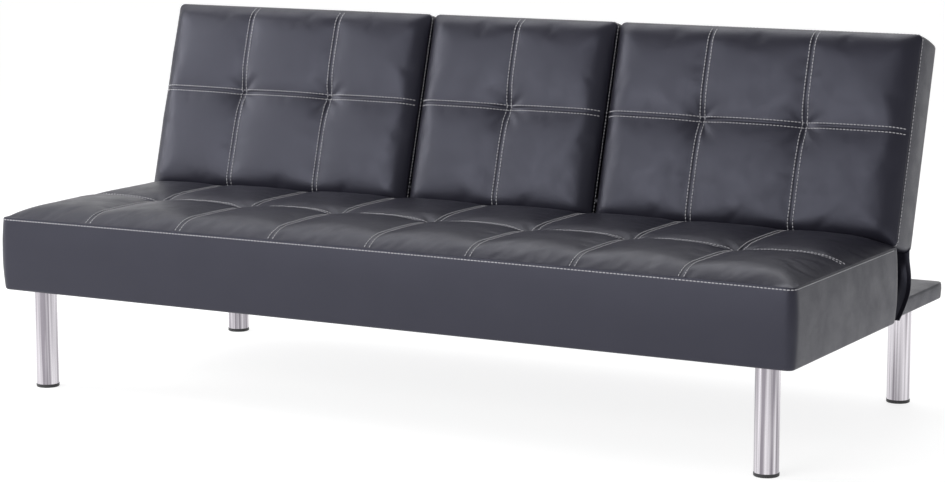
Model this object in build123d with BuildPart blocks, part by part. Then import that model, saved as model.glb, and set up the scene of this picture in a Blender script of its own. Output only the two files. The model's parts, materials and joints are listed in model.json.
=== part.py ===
from build123d import *
import os
from math import cos, radians, sin

# Click-clack sofa bed: a boxed seat on round steel legs, a back in three sections that reclines to a
# flat bed, a centre section that folds forward as a console, and a low padded shelf behind the seat.
# Millimetres. X runs along the sofa, the front faces -Y, Z is up, the floor is Z = 0, and the origin
# is the middle of the whole sofa's plan.

# ---------------------------------------------------------------- driving dimensions
LENGTH = 1800.0
DEPTH = 866.0
FRONT_Y = -DEPTH / 2
REAR_Y = DEPTH / 2
SEAT_DEPTH = 544.0
SEAT_BOTTOM = 212.0
SEAT_TOP = 366.0
SEAT_CORNER = 16.0
EDGE_R = 4.5

LEATHER = 2.0  # cover thickness
PAD = 8.0  # thin padding over the seat frame
WOOD = 25.0  # rail thickness
RAIL_TOP = 300.0
FIT = 0.2  # play between pieces of one body

PIVOT_Y = 119.0
PIVOT_Z = 360.0
BACK_TILT = 16.54  # from upright
BACK_FRONT = 6.0  # front face, ahead of the pivot
BACK_THICK = 89.0
BACK_FOOT = 3.0  # lowest point of the back, up its slope from the pivot
BACK_HEAD = 432.0
BACK_END = 894.0
SECTION_EDGE = 229.0  # inner end of each side section
CONSOLE_EDGE = 221.0
CONSOLE_THICK = 66.0
CONSOLE_PIVOT_S = 50.0
CONSOLE_PIVOT_W = -4.0

SHELF_HALF = 883.6
SHELF_TOP = 246.0
SHELF_CORNER = 18.0

LEG_R = 24.0
LEG_WALL = 1.5
CAP_H = 7.0
FRONT_LEG = (828.8, FRONT_Y + 56.2)
REAR_LEG = (821.2, FRONT_Y + 780.6)

SIDES = (("left", -1), ("right", 1))

# ---------------------------------------------------------------- derived places
SEAT_REAR = FRONT_Y + SEAT_DEPTH
SEAT_MID_Y = (FRONT_Y + SEAT_REAR) / 2
HALF = LENGTH / 2
FRAME_HALF = HALF - LEATHER - PAD - FIT
FRAME_FRONT = FRONT_Y + LEATHER + PAD + FIT
FRAME_REAR = SEAT_REAR - LEATHER - PAD - FIT
FRAME_BOTTOM = SEAT_BOTTOM + LEATHER + FIT
RAIL_IN = FRAME_HALF - WOOD  # inner face of a side rail
FOAM_BOTTOM = 309.5
BACK_REAR = BACK_FRONT - BACK_THICK
CONSOLE_REAR = BACK_FRONT - CONSOLE_THICK
UP = Vector(0, sin(radians(BACK_TILT)), cos(radians(BACK_TILT)))
AHEAD = Vector(0, -cos(radians(BACK_TILT)), sin(radians(BACK_TILT)))
PIVOT = Vector(0, PIVOT_Y, PIVOT_Z)
# In the back's own plane, x runs along the sofa, y up the slope and z ahead of the pivot.
BACK_PLANE = Plane(origin=PIVOT, x_dir=(1, 0, 0), z_dir=AHEAD)

# The hinge is a stack of plates beside the side rail.
ARM_T = 4.0
SEAT_ARM_X = RAIL_IN - ARM_T
WASHER_T = 2.0
BACK_ARM_X = SEAT_ARM_X - WASHER_T - ARM_T
SLOT_X = (BACK_ARM_X - 7.0, RAIL_IN + 3.0)  # room in foam and covers for the stack
HINGE_PIN_R = 4.0
RUN = 0.06  # radial play of a turning fit
HUB_R = 15.0
NOSE_R = 2.5
NOSE_GAP = 0.5
NOSE_ANGLE = -165.0
NOTCH_ROOM = 0.3  # all round a pawl home in a notch
PAWL_END_R = 6.0
ENGAGE = 6.0  # degrees a pawl turns from clear of the hub to home in a notch
STOPS = (0.0, 36.0, 90.0 - BACK_TILT)  # upright, lounging and flat
PAWL_Y = PIVOT_Y - 21.0
PAWL_Z = PIVOT_Z - 32.0

# Depths in the back, measured ahead of the pivot.
FOAM_W = (BACK_FRONT - LEATHER, -49.0)
FRAME_W = (-51.2, -73.0)
BAR_W = (-73.2, -78.2)
PANEL_W = (-78.4, BACK_REAR)
LOW_BAR_S = 105.0
HIGH_BAR_S = 360.0
STILE_W = 29.0


def save(piece, node):
    """Labels a finished piece and writes its STEP file."""
    piece.part.label = node
    export_step(piece.part, f"parts/{node}.step")


def between(low, high):
    """Middle and size of a span."""
    return (low + high) / 2, abs(high - low)


def span(x, y):
    """Places and sizes a rectangle from its two spans."""
    (mid_x, size_x), (mid_y, size_y) = between(*x), between(*y)
    with Locations((mid_x, mid_y)):
        Rectangle(size_x, size_y)


def block(x, y, z, mode=Mode.ADD):
    """A box from its three spans, upright in the sofa's frame."""
    with BuildSketch(Plane.XY.offset(min(z))) as profile:
        span(x, y)
    extrude(profile.sketch, amount=abs(z[1] - z[0]), mode=mode)


def back_block(x, s, w, mode=Mode.ADD):
    """A box from its three spans, in the back's plane."""
    with BuildSketch(BACK_PLANE.offset(min(w))) as profile:
        span(x, s)
    extrude(profile.sketch, amount=abs(w[1] - w[0]), mode=mode)


def side_plane(x):
    """A plane across the sofa at x, whose own x is Y and whose own y is Z."""
    return Plane(origin=(x, 0, 0), x_dir=(0, 1, 0), z_dir=(1, 0, 0))


def back_side_plane(x):
    """A plane across the back at x, whose own x is depth behind the pivot and own y is up the slope."""
    return Plane(origin=(x, PIVOT_Y, PIVOT_Z), x_dir=-AHEAD, z_dir=(1, 0, 0))


def cross_rod(x, y, z, radius, mode=Mode.ADD):
    """A rod along X over the span x, centred at y, z."""
    with BuildSketch(side_plane(min(x))) as profile:
        with Locations((y, z)):
            Circle(radius)
    extrude(profile.sketch, amount=abs(x[1] - x[0]), mode=mode)


def back_rod(x, s, w, radius, mode=Mode.ADD):
    """A rod along X over the span x, centred at s, w in the back's plane."""
    with BuildSketch(back_side_plane(min(x))) as profile:
        with Locations((-w, s)):
            Circle(radius)
    extrude(profile.sketch, amount=abs(x[1] - x[0]), mode=mode)


def bolt_holes(places, x, radius, rod):
    """Cuts a hole along X at each place."""
    for a, b in places:
        rod(x, a, b, radius, mode=Mode.SUBTRACT)


def mirrored(x, sign):
    """A span on the right end, or the same span on the left end."""
    return (sign * x[0], sign * x[1])


os.makedirs("parts", exist_ok=True)

# ================================================================ seat frame
HINGE_BOLTS = ((-30.0, 262.0), (15.0, 262.0), (52.0, 285.0))
BOLT_R = 3.5
BEARER_HALF = 32.0
BEARER_XS = (-REAR_LEG[0], 0.0, REAR_LEG[0])
BEARER_TOP = 235.0

with BuildPart() as front_rail:
    block((-FRAME_HALF, FRAME_HALF), (FRAME_FRONT, FRAME_FRONT + WOOD), (FRAME_BOTTOM, RAIL_TOP))
save(front_rail, "seat_rail_front")

with BuildPart() as rear_rail:
    block((-FRAME_HALF, FRAME_HALF), (FRAME_REAR - WOOD, FRAME_REAR), (FRAME_BOTTOM, RAIL_TOP))
    for x in BEARER_XS:
        block(
            (x - BEARER_HALF - FIT, x + BEARER_HALF + FIT),
            (FRAME_REAR - WOOD, FRAME_REAR),
            (FRAME_BOTTOM, BEARER_TOP + FIT),
            mode=Mode.SUBTRACT,
        )
save(rear_rail, "seat_rail_rear")

for side, sign in SIDES:
    with BuildPart() as side_rail:
        block(
            mirrored((RAIL_IN, FRAME_HALF), sign),
            (FRAME_FRONT + WOOD, FRAME_REAR - WOOD),
            (FRAME_BOTTOM, RAIL_TOP),
        )
        bolt_holes(HINGE_BOLTS, mirrored((RAIL_IN, RAIL_IN + 21), sign), BOLT_R + 0.1, cross_rod)
    save(side_rail, f"seat_rail_{side}")

CROSS_RAIL_X = 300.0
with BuildPart() as cross_rails:
    for x in (-CROSS_RAIL_X, CROSS_RAIL_X):
        block(
            (x - WOOD / 2, x + WOOD / 2),
            (FRAME_FRONT + WOOD, FRAME_REAR - WOOD),
            (FRAME_BOTTOM, RAIL_TOP - 20),
        )
save(cross_rails, "seat_cross_rails")

BLOCK_TOP = 262.0
BLOCK_SIZE = 70.0
STUD_R = 5.0
INSERT_R = 8.0
INSERT_Z = (216.0, 230.0)

with BuildPart() as corner_blocks:
    for sign in (-1, 1):
        block(
            mirrored((RAIL_IN - BLOCK_SIZE, RAIL_IN), sign),
            (FRAME_FRONT + WOOD, FRAME_FRONT + WOOD + BLOCK_SIZE),
            (FRAME_BOTTOM, BLOCK_TOP),
        )
    with BuildSketch(Plane.XY.offset(FRAME_BOTTOM)):
        with Locations((-FRONT_LEG[0], FRONT_LEG[1]), FRONT_LEG):
            Circle(INSERT_R + 0.1)
    extrude(amount=INSERT_Z[1] - FRAME_BOTTOM + FIT, mode=Mode.SUBTRACT)
    with BuildSketch(Plane.XY.offset(FRAME_BOTTOM)):
        with Locations((-FRONT_LEG[0], FRONT_LEG[1]), FRONT_LEG):
            Circle(STUD_R + 0.4)
    extrude(amount=40, mode=Mode.SUBTRACT)
save(corner_blocks, "corner_blocks")

# ================================================================ seat springs
SPRING_COUNT = 9
SPRING_R = 1.75
SPRING_Z = RAIL_TOP + 3.0
SPRING_LOOPS = 11
SPRING_HALF = 22.0
spring_xs = [(i - (SPRING_COUNT - 1) / 2) * 182.0 for i in range(SPRING_COUNT)]
spring_y0 = FRAME_FRONT + 12
spring_y1 = FRAME_REAR - 12


def zigzag(x0):
    """Turning points of one sinuous spring, from the front rail to the rear rail."""
    pitch = (spring_y1 - spring_y0 - 20) / SPRING_LOOPS
    points = [(x0, spring_y0), (x0, spring_y0 + 10)]
    for i in range(SPRING_LOOPS):
        side = SPRING_HALF if i % 2 == 0 else -SPRING_HALF
        y = spring_y0 + 10 + i * pitch
        points += [(x0 + side, y), (x0 + side, y + pitch)]
    return points + [(x0, spring_y1 - 10), (x0, spring_y1)]


with BuildPart() as springs:
    for x0 in spring_xs:
        with BuildLine(Plane.XY.offset(SPRING_Z)) as wire:
            FilletPolyline(*zigzag(x0), radius=4.8)
        with BuildSketch(Plane(origin=wire.line @ 0, z_dir=wire.line % 0)):
            Circle(SPRING_R)
        sweep(path=wire.line)
save(springs, "seat_springs")

with BuildPart() as clips:
    for x0 in spring_xs:
        for y in (spring_y0 + 1, spring_y1 - 1):
            block((x0 - 5, x0 + 5), (y - 3, y + 3), (RAIL_TOP, SPRING_Z + SPRING_R + 1.2))
            with BuildSketch(Plane.XZ.offset(-(y - 3))):
                with Locations((x0, SPRING_Z)):
                    Circle(SPRING_R + 0.15)
            extrude(amount=-6, mode=Mode.SUBTRACT)
save(clips, "spring_clips")


def hinge_slots(y, z):
    """Cuts the room for both hinges out of a seat piece."""
    for sign in (-1, 1):
        block(mirrored(SLOT_X, sign), y, z, mode=Mode.SUBTRACT)


# ================================================================ seat padding and cover
with BuildPart() as spring_pad:
    block(
        (-FRAME_HALF, FRAME_HALF),
        (FRAME_FRONT, FRAME_REAR),
        (SPRING_Z + SPRING_R + 1.4, FOAM_BOTTOM - FIT),
    )
    hinge_slots((-10, SEAT_REAR), (RAIL_TOP, FOAM_BOTTOM))
save(spring_pad, "seat_spring_pad")


def seat_outline(inset):
    """The seat's plan, set in by a distance."""
    with Locations((0, SEAT_MID_Y)):
        RectangleRounded(LENGTH - 2 * inset, SEAT_DEPTH - 2 * inset, SEAT_CORNER - inset)


with BuildPart() as edge_padding:
    with BuildSketch(Plane.XY.offset(FRAME_BOTTOM)):
        seat_outline(LEATHER + FIT)
        with Locations((0, SEAT_MID_Y)):
            Rectangle(2 * FRAME_HALF, FRAME_REAR - FRAME_FRONT, mode=Mode.SUBTRACT)
    extrude(amount=FOAM_BOTTOM - FIT - FRAME_BOTTOM)
    for x in BEARER_XS:
        block(
            (x - BEARER_HALF - FIT, x + BEARER_HALF + FIT),
            (FRAME_REAR, SEAT_REAR),
            (FRAME_BOTTOM, BEARER_TOP + FIT),
            mode=Mode.SUBTRACT,
        )
save(edge_padding, "seat_edge_padding")

with BuildPart() as seat_foam:
    with BuildSketch(Plane.XY.offset(FOAM_BOTTOM)):
        seat_outline(LEATHER + FIT)
    extrude(amount=SEAT_TOP - LEATHER - FIT - FOAM_BOTTOM)
    fillet(seat_foam.faces().sort_by(Axis.Z)[-1].edges(), radius=7)
    hinge_slots((-10, SEAT_REAR), (FOAM_BOTTOM, 354))
    hinge_slots((80, SEAT_REAR), (FOAM_BOTTOM, SEAT_TOP))
save(seat_foam, "seat_foam")

BOTTOM_LAP = 90.0
with BuildPart() as seat_cover:
    with BuildSketch(Plane.XY.offset(SEAT_BOTTOM)):
        seat_outline(0)
    extrude(amount=SEAT_TOP - SEAT_BOTTOM)
    fillet(seat_cover.faces().sort_by(Axis.Z)[-1].edges(), radius=EDGE_R)
    with BuildSketch(Plane.XY.offset(SEAT_BOTTOM + LEATHER)):
        seat_outline(LEATHER)
    extrude(amount=SEAT_TOP - SEAT_BOTTOM - 2 * LEATHER, mode=Mode.SUBTRACT)
    block(
        (-HALF + BOTTOM_LAP, HALF - BOTTOM_LAP),
        (FRONT_Y + BOTTOM_LAP, SEAT_REAR - BOTTOM_LAP),
        (SEAT_BOTTOM, SEAT_BOTTOM + LEATHER),
        mode=Mode.SUBTRACT,
    )
    hinge_slots((PIVOT_Y - HUB_R - 2.5, SEAT_REAR), (333, SEAT_TOP))
    for x in BEARER_XS:
        block(
            (x - BEARER_HALF - FIT, x + BEARER_HALF + FIT),
            (SEAT_REAR - LEATHER, SEAT_REAR),
            (SEAT_BOTTOM + LEATHER, BEARER_TOP + FIT),
            mode=Mode.SUBTRACT,
        )
    with BuildSketch(Plane.XY.offset(SEAT_BOTTOM)):
        with Locations((-FRONT_LEG[0], FRONT_LEG[1]), FRONT_LEG):
            Circle(STUD_R + 1)
    extrude(amount=LEATHER, mode=Mode.SUBTRACT)
save(seat_cover, "seat_cover")

DUST_LAP = 74.0
with BuildPart() as dust_cover:
    block(
        (-HALF + DUST_LAP, HALF - DUST_LAP),
        (FRONT_Y + DUST_LAP, SEAT_REAR - DUST_LAP),
        (SEAT_BOTTOM - 1.0, SEAT_BOTTOM),
    )
    with BuildSketch(Plane.XY.offset(SEAT_BOTTOM - 1.0)):
        with Locations((-FRONT_LEG[0], FRONT_LEG[1]), FRONT_LEG):
            Circle(LEG_R + 1)
    extrude(amount=1.0, mode=Mode.SUBTRACT)
save(dust_cover, "seat_dust_cover")

# ================================================================ rear shelf
SHELF_IN = SEAT_REAR + 0.3
SHELF_BOARD_Z = (BEARER_TOP, SHELF_TOP - LEATHER - FIT)

with BuildPart() as bearers:
    for x in BEARER_XS:
        block(
            (x - BEARER_HALF, x + BEARER_HALF),
            (-160, REAR_Y - 28),
            (FRAME_BOTTOM, BEARER_TOP),
        )
    with BuildSketch(Plane.XY.offset(FRAME_BOTTOM)):
        with Locations((-REAR_LEG[0], REAR_LEG[1]), REAR_LEG):
            Circle(INSERT_R + 0.1)
    extrude(amount=INSERT_Z[1] - FRAME_BOTTOM + FIT, mode=Mode.SUBTRACT)
    with BuildSketch(Plane.XY.offset(FRAME_BOTTOM)):
        with Locations((-REAR_LEG[0], REAR_LEG[1]), REAR_LEG):
            Circle(STUD_R + 0.4)
    extrude(amount=20, mode=Mode.SUBTRACT)
save(bearers, "shelf_bearers")

with BuildPart() as shelf_rail:
    block((-SHELF_HALF + 24, SHELF_HALF - 24), (REAR_Y - 28, REAR_Y - 4), (FRAME_BOTTOM, BEARER_TOP))
save(shelf_rail, "shelf_rail_rear")


def shelf_outline(inset):
    """The shelf's plan behind the seat, set in by a distance, with its two rear corners rounded."""
    half = SHELF_HALF - inset
    front = SHELF_IN + inset
    rear = REAR_Y - inset
    radius = SHELF_CORNER - inset
    with BuildLine() as rim:
        FilletPolyline((-half, front), (-half, rear), (half, rear), (half, front), radius=radius)
        Line((-half, front), (half, front))
    make_face(rim.edges())


with BuildPart() as shelf_board:
    with BuildSketch(Plane.XY.offset(SHELF_BOARD_Z[0])):
        shelf_outline(LEATHER + FIT)
    extrude(amount=SHELF_BOARD_Z[1] - SHELF_BOARD_Z[0])
save(shelf_board, "shelf_board")

with BuildPart() as shelf_cover:
    with BuildSketch(Plane.XY.offset(SEAT_BOTTOM)):
        shelf_outline(0)
    extrude(amount=SHELF_TOP - SEAT_BOTTOM)
    fillet(shelf_cover.faces().sort_by(Axis.Z)[-1].edges().sort_by(Axis.Y)[1:], radius=4)
    with BuildSketch(Plane.XY.offset(SEAT_BOTTOM + LEATHER)):
        shelf_outline(LEATHER)
    extrude(amount=SHELF_TOP - SEAT_BOTTOM - 2 * LEATHER, mode=Mode.SUBTRACT)
    for x in BEARER_XS:
        block(
            (x - BEARER_HALF - FIT, x + BEARER_HALF + FIT),
            (SHELF_IN, SHELF_IN + LEATHER),
            (SEAT_BOTTOM + LEATHER, BEARER_TOP + FIT),
            mode=Mode.SUBTRACT,
        )
    with BuildSketch(Plane.XY.offset(SEAT_BOTTOM)):
        with Locations((-REAR_LEG[0], REAR_LEG[1]), REAR_LEG):
            Circle(STUD_R + 1)
    extrude(amount=LEATHER, mode=Mode.SUBTRACT)
save(shelf_cover, "shelf_cover")

# The curtain hangs from the back's lower rear edge to the shelf and hides the frame.
CURTAIN_HALF = 895.0
CURTAIN_T = 2.0
CURTAIN_FOOT_Y = 138.0
CURTAIN_BELLY = (179.0, 300.0)
curtain_head = PIVOT + UP * (BACK_FOOT - 1.5) - AHEAD * 66.0

with BuildPart() as curtain:
    with BuildSketch(side_plane(-CURTAIN_HALF)):
        with BuildLine():
            low = (CURTAIN_FOOT_Y, SHELF_TOP + FIT)
            high = (curtain_head.Y, curtain_head.Z)
            outer = ThreePointArc(low, CURTAIN_BELLY, high)
            inner_low = (low[0] - CURTAIN_T, low[1])
            inner_high = (high[0] - CURTAIN_T, high[1])
            inner = ThreePointArc(inner_low, (CURTAIN_BELLY[0] - CURTAIN_T, CURTAIN_BELLY[1]), inner_high)
            Line(outer @ 0, inner @ 0)
            Line(outer @ 1, inner @ 1)
        make_face()
    extrude(amount=2 * CURTAIN_HALF)
save(curtain, "rear_curtain")

# ================================================================ legs
STUD_TOP = 228.0


def leg(node, x, y):
    """A round tube with a closed top, on its own node."""
    with BuildPart() as tube:
        with BuildSketch(Plane.XY.offset(CAP_H)):
            with Locations((x, y)):
                Circle(LEG_R)
        extrude(amount=SEAT_BOTTOM - CAP_H)
        chamfer(tube.faces().sort_by(Axis.Z)[-1].edges(), length=0.8)
        with BuildSketch(Plane.XY.offset(CAP_H)):
            with Locations((x, y)):
                Circle(LEG_R - LEG_WALL)
        extrude(amount=SEAT_BOTTOM - CAP_H - 4, mode=Mode.SUBTRACT)
        with BuildSketch(Plane.XY.offset(SEAT_BOTTOM - 4)):
            with Locations((x, y)):
                Circle(STUD_R + 0.1)
        extrude(amount=4, mode=Mode.SUBTRACT)
    save(tube, node)


leg_places = []
for side, sign in SIDES:
    for end, (x, y) in (("front", FRONT_LEG), ("rear", REAR_LEG)):
        leg(f"leg_{end}_{side}", sign * x, y)
        leg_places.append((sign * x, y))

with BuildPart() as caps:
    with BuildSketch(Plane.XY):
        with Locations(*leg_places):
            Circle(LEG_R + 0.6)
    extrude(amount=CAP_H)
    with BuildSketch(Plane.XY.offset(CAP_H)):
        with Locations(*leg_places):
            Circle(LEG_R - LEG_WALL - 0.1)
    extrude(amount=16)
    chamfer(caps.faces().group_by(Axis.Z)[0].edges(), length=1.2)
save(caps, "foot_caps")

with BuildPart() as studs:
    with BuildSketch(Plane.XY.offset(SEAT_BOTTOM - 10)):
        with Locations(*leg_places):
            RegularPolygon(8.5, 6)
    extrude(amount=6)
    with BuildSketch(Plane.XY.offset(SEAT_BOTTOM - 4)):
        with Locations(*leg_places):
            Circle(STUD_R)
    extrude(amount=STUD_TOP - SEAT_BOTTOM + 4)
save(studs, "leg_bolts")

with BuildPart() as inserts:
    with BuildSketch(Plane.XY.offset(INSERT_Z[0])):
        with Locations(*leg_places):
            Circle(INSERT_R)
            Circle(STUD_R + 0.1, mode=Mode.SUBTRACT)
    extrude(amount=INSERT_Z[1] - INSERT_Z[0])
save(inserts, "leg_inserts")

# ================================================================ recline hinges
with BuildPart() as seat_arms:
    for sign in (-1, 1):
        with BuildSketch(side_plane(min(mirrored((SEAT_ARM_X, RAIL_IN), sign)))):
            span((-50, 68), (240, RAIL_TOP - 2))
            with BuildSketch(mode=Mode.PRIVATE) as arm_ends:
                with Locations((40, 296)):
                    Circle(14)
                with Locations((PIVOT_Y, PIVOT_Z)):
                    Circle(12)
            make_hull(arm_ends.sketch.edges())
            with BuildSketch(mode=Mode.PRIVATE) as pawl_ear:
                with Locations((PAWL_Y, PAWL_Z)):
                    Circle(8)
                with Locations((72, 322)):
                    Circle(12)
            make_hull(pawl_ear.sketch.edges())
        extrude(amount=ARM_T)
        across = mirrored((SEAT_ARM_X - 1, RAIL_IN + 1), sign)
        bolt_holes(HINGE_BOLTS, across, BOLT_R + 0.1, cross_rod)
        cross_rod(across, PIVOT_Y, PIVOT_Z, HINGE_PIN_R + 0.02, mode=Mode.SUBTRACT)
        cross_rod(across, PAWL_Y, PAWL_Z, 3.02, mode=Mode.SUBTRACT)
save(seat_arms, "hinge_seat_arms")

BACK_BOLTS = ((60.0, -62.0), (84.0, -62.0), (148.0, -62.0))


def polar(radius, angle):
    """A point about the pivot in the side plane."""
    return (PIVOT_Y + radius * cos(radians(angle)), PIVOT_Z + radius * sin(radians(angle)))


def turned(point, about, angle):
    """A point of the side plane turned about another by an angle in degrees."""
    arm = Vector(point[0] - about[0], point[1] - about[1]).rotate(Axis.Z, angle)
    return (about[0] + arm.X, about[1] + arm.Y)


HINGE = (PIVOT_Y, PIVOT_Z)
PAWL_PIN = (PAWL_Y, PAWL_Z)
nose = polar(HUB_R + NOSE_R + NOSE_GAP, NOSE_ANGLE)

with BuildPart() as back_arms:
    for sign in (-1, 1):
        across = mirrored((BACK_ARM_X, BACK_ARM_X + ARM_T), sign)
        with BuildSketch(back_side_plane(min(across))):
            with BuildSketch(mode=Mode.PRIVATE) as beam_ends:
                Circle(11)
                with Locations((62, 50)):
                    Circle(11)
            make_hull(beam_ends.sketch.edges())
            span((51.5, 72.5), (45, 172))
        extrude(amount=ARM_T)
        with BuildSketch(side_plane(min(across))):
            with BuildLine():
                first = NOSE_ANGLE - 10
                sweep_angle = STOPS[-1] + 32
                CenterArc((PIVOT_Y, PIVOT_Z), HUB_R, first, sweep_angle)
                Line((PIVOT_Y, PIVOT_Z), polar(HUB_R, first))
                Line((PIVOT_Y, PIVOT_Z), polar(HUB_R, first + sweep_angle))
            make_face()
        extrude(amount=ARM_T)
        wide = mirrored((BACK_ARM_X - 1, BACK_ARM_X + ARM_T + 1), sign)
        for stop in STOPS:
            with BuildSketch(side_plane(min(wide))):
                with BuildSketch(mode=Mode.PRIVATE) as home:
                    with Locations(turned(turned(nose, PAWL_PIN, -ENGAGE), HINGE, stop)):
                        Circle(NOSE_R + NOTCH_ROOM)
                    with Locations(turned(PAWL_PIN, HINGE, stop)):
                        Circle(PAWL_END_R + NOTCH_ROOM)
                make_hull(home.sketch.edges())
            extrude(amount=ARM_T + 2, mode=Mode.SUBTRACT)
        cross_rod(wide, PIVOT_Y, PIVOT_Z, HINGE_PIN_R + RUN, mode=Mode.SUBTRACT)
        for s, w in BACK_BOLTS:
            back_rod(wide, s, w, BOLT_R + 0.1, mode=Mode.SUBTRACT)
save(back_arms, "hinge_back_arms")

with BuildPart() as washers:
    for sign in (-1, 1):
        gap = mirrored((BACK_ARM_X + ARM_T + 0.1, SEAT_ARM_X), sign)
        cross_rod(gap, PIVOT_Y, PIVOT_Z, 9.0)
        cross_rod(gap, PIVOT_Y, PIVOT_Z, HINGE_PIN_R + 0.1, mode=Mode.SUBTRACT)
save(washers, "hinge_washers")

with BuildPart() as hinge_pins:
    for sign in (-1, 1):
        cross_rod(mirrored((BACK_ARM_X - 2.1, RAIL_IN + 2), sign), PIVOT_Y, PIVOT_Z, HINGE_PIN_R)
        cross_rod(mirrored((BACK_ARM_X - 2.1, BACK_ARM_X - 0.1), sign), PIVOT_Y, PIVOT_Z, 7.0)
        cross_rod(mirrored((RAIL_IN + 0.1, RAIL_IN + 2.1), sign), PIVOT_Y, PIVOT_Z, 7.0)
save(hinge_pins, "hinge_pins")

with BuildPart() as seat_bolts:
    for sign in (-1, 1):
        for y, z in HINGE_BOLTS:
            cross_rod(mirrored((SEAT_ARM_X - 4, SEAT_ARM_X), sign), y, z, 7.0)
            cross_rod(mirrored((SEAT_ARM_X, RAIL_IN + 20), sign), y, z, BOLT_R)
save(seat_bolts, "hinge_bolts_seat")

with BuildPart() as back_bolts:
    for sign in (-1, 1):
        for s, w in BACK_BOLTS:
            back_rod(mirrored((BACK_ARM_X - 4, BACK_ARM_X), sign), s, w, 7.0)
            back_rod(mirrored((BACK_ARM_X, BACK_ARM_X + ARM_T + 20), sign), s, w, BOLT_R)
save(back_bolts, "hinge_bolts_back")

# A sprung pawl on each seat arm drops its nose into the hub's notches.
for side, sign in SIDES:
    with BuildPart() as pawl:
        across = mirrored((BACK_ARM_X, BACK_ARM_X + ARM_T), sign)
        with BuildSketch(side_plane(min(across))):
            with BuildSketch(mode=Mode.PRIVATE) as pawl_ends:
                with Locations(PAWL_PIN):
                    Circle(PAWL_END_R)
                with Locations(nose):
                    Circle(NOSE_R)
            make_hull(pawl_ends.sketch.edges())
        extrude(amount=ARM_T)
        wide = mirrored((BACK_ARM_X - 1, BACK_ARM_X + ARM_T + 1), sign)
        cross_rod(wide, PAWL_Y, PAWL_Z, 3.0 + RUN, mode=Mode.SUBTRACT)
    save(pawl, f"pawl_{side}")

PAWL_PIN_END = BACK_ARM_X - 5.0
with BuildPart() as pawl_pins:
    for sign in (-1, 1):
        cross_rod(mirrored((PAWL_PIN_END, RAIL_IN + 1), sign), PAWL_Y, PAWL_Z, 3.0)
        cross_rod(mirrored((PAWL_PIN_END - 1.5, PAWL_PIN_END), sign), PAWL_Y, PAWL_Z, 5.5)
save(pawl_pins, "pawl_pins")

with BuildPart() as pawl_springs:
    for sign in (-1, 1):
        start = sign * (PAWL_PIN_END + 1.0)
        with BuildLine() as coil:
            Helix(1.1, 2.8, 4.0, center=(start, PAWL_Y, PAWL_Z), direction=(sign, 0, 0))
        with BuildSketch(Plane(origin=coil.line @ 0, z_dir=coil.line % 0)):
            Circle(0.45)
        sweep(path=coil.line)
save(pawl_springs, "pawl_springs")

# ================================================================ back: side sections
STILE_OUT = (BACK_ARM_X + ARM_T, BACK_ARM_X + ARM_T + STILE_W)
STILE_IN = (SECTION_EDGE + 6, SECTION_EDGE + 6 + STILE_W)
FRAME_S = (8.0, 421.0)
RAIL_S = 29.0
SECTION_CORNER = 12.0
CROSSBARS = (LOW_BAR_S, HIGH_BAR_S)
BAR_HALF_S = 20.0
BAR_BOLT_XS = (STILE_IN[0] + STILE_W / 2, STILE_OUT[0] + STILE_W / 2)
BRACKET_BOLT_S = (88.0, 122.0)


def front_of(piece):
    """The face of a back piece that is furthest ahead."""
    return piece.faces().sort_by(lambda face: face.center().dot(AHEAD))[-1]


def section_outline(x, inset):
    """The face of a padded section over the span x, set in by a distance."""
    mid, size = between(*x)
    height = BACK_HEAD - BACK_FOOT
    with Locations((mid, (BACK_HEAD + BACK_FOOT) / 2)):
        RectangleRounded(size - 2 * inset, height - 2 * inset, SECTION_CORNER - inset)


def padded_shell(cover, x, w):
    """Makes a leather cover over the spans x and w: rounded edges outside, hollow inside."""
    with BuildSketch(BACK_PLANE.offset(min(w))) as outside:
        section_outline(x, 0)
    extrude(outside.sketch, amount=abs(w[1] - w[0]))
    fillet(front_of(cover).edges(), radius=EDGE_R)
    with BuildSketch(BACK_PLANE.offset(min(w) + LEATHER)) as inside:
        section_outline(x, LEATHER)
    extrude(inside.sketch, amount=abs(w[1] - w[0]) - 2 * LEATHER, mode=Mode.SUBTRACT)


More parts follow.
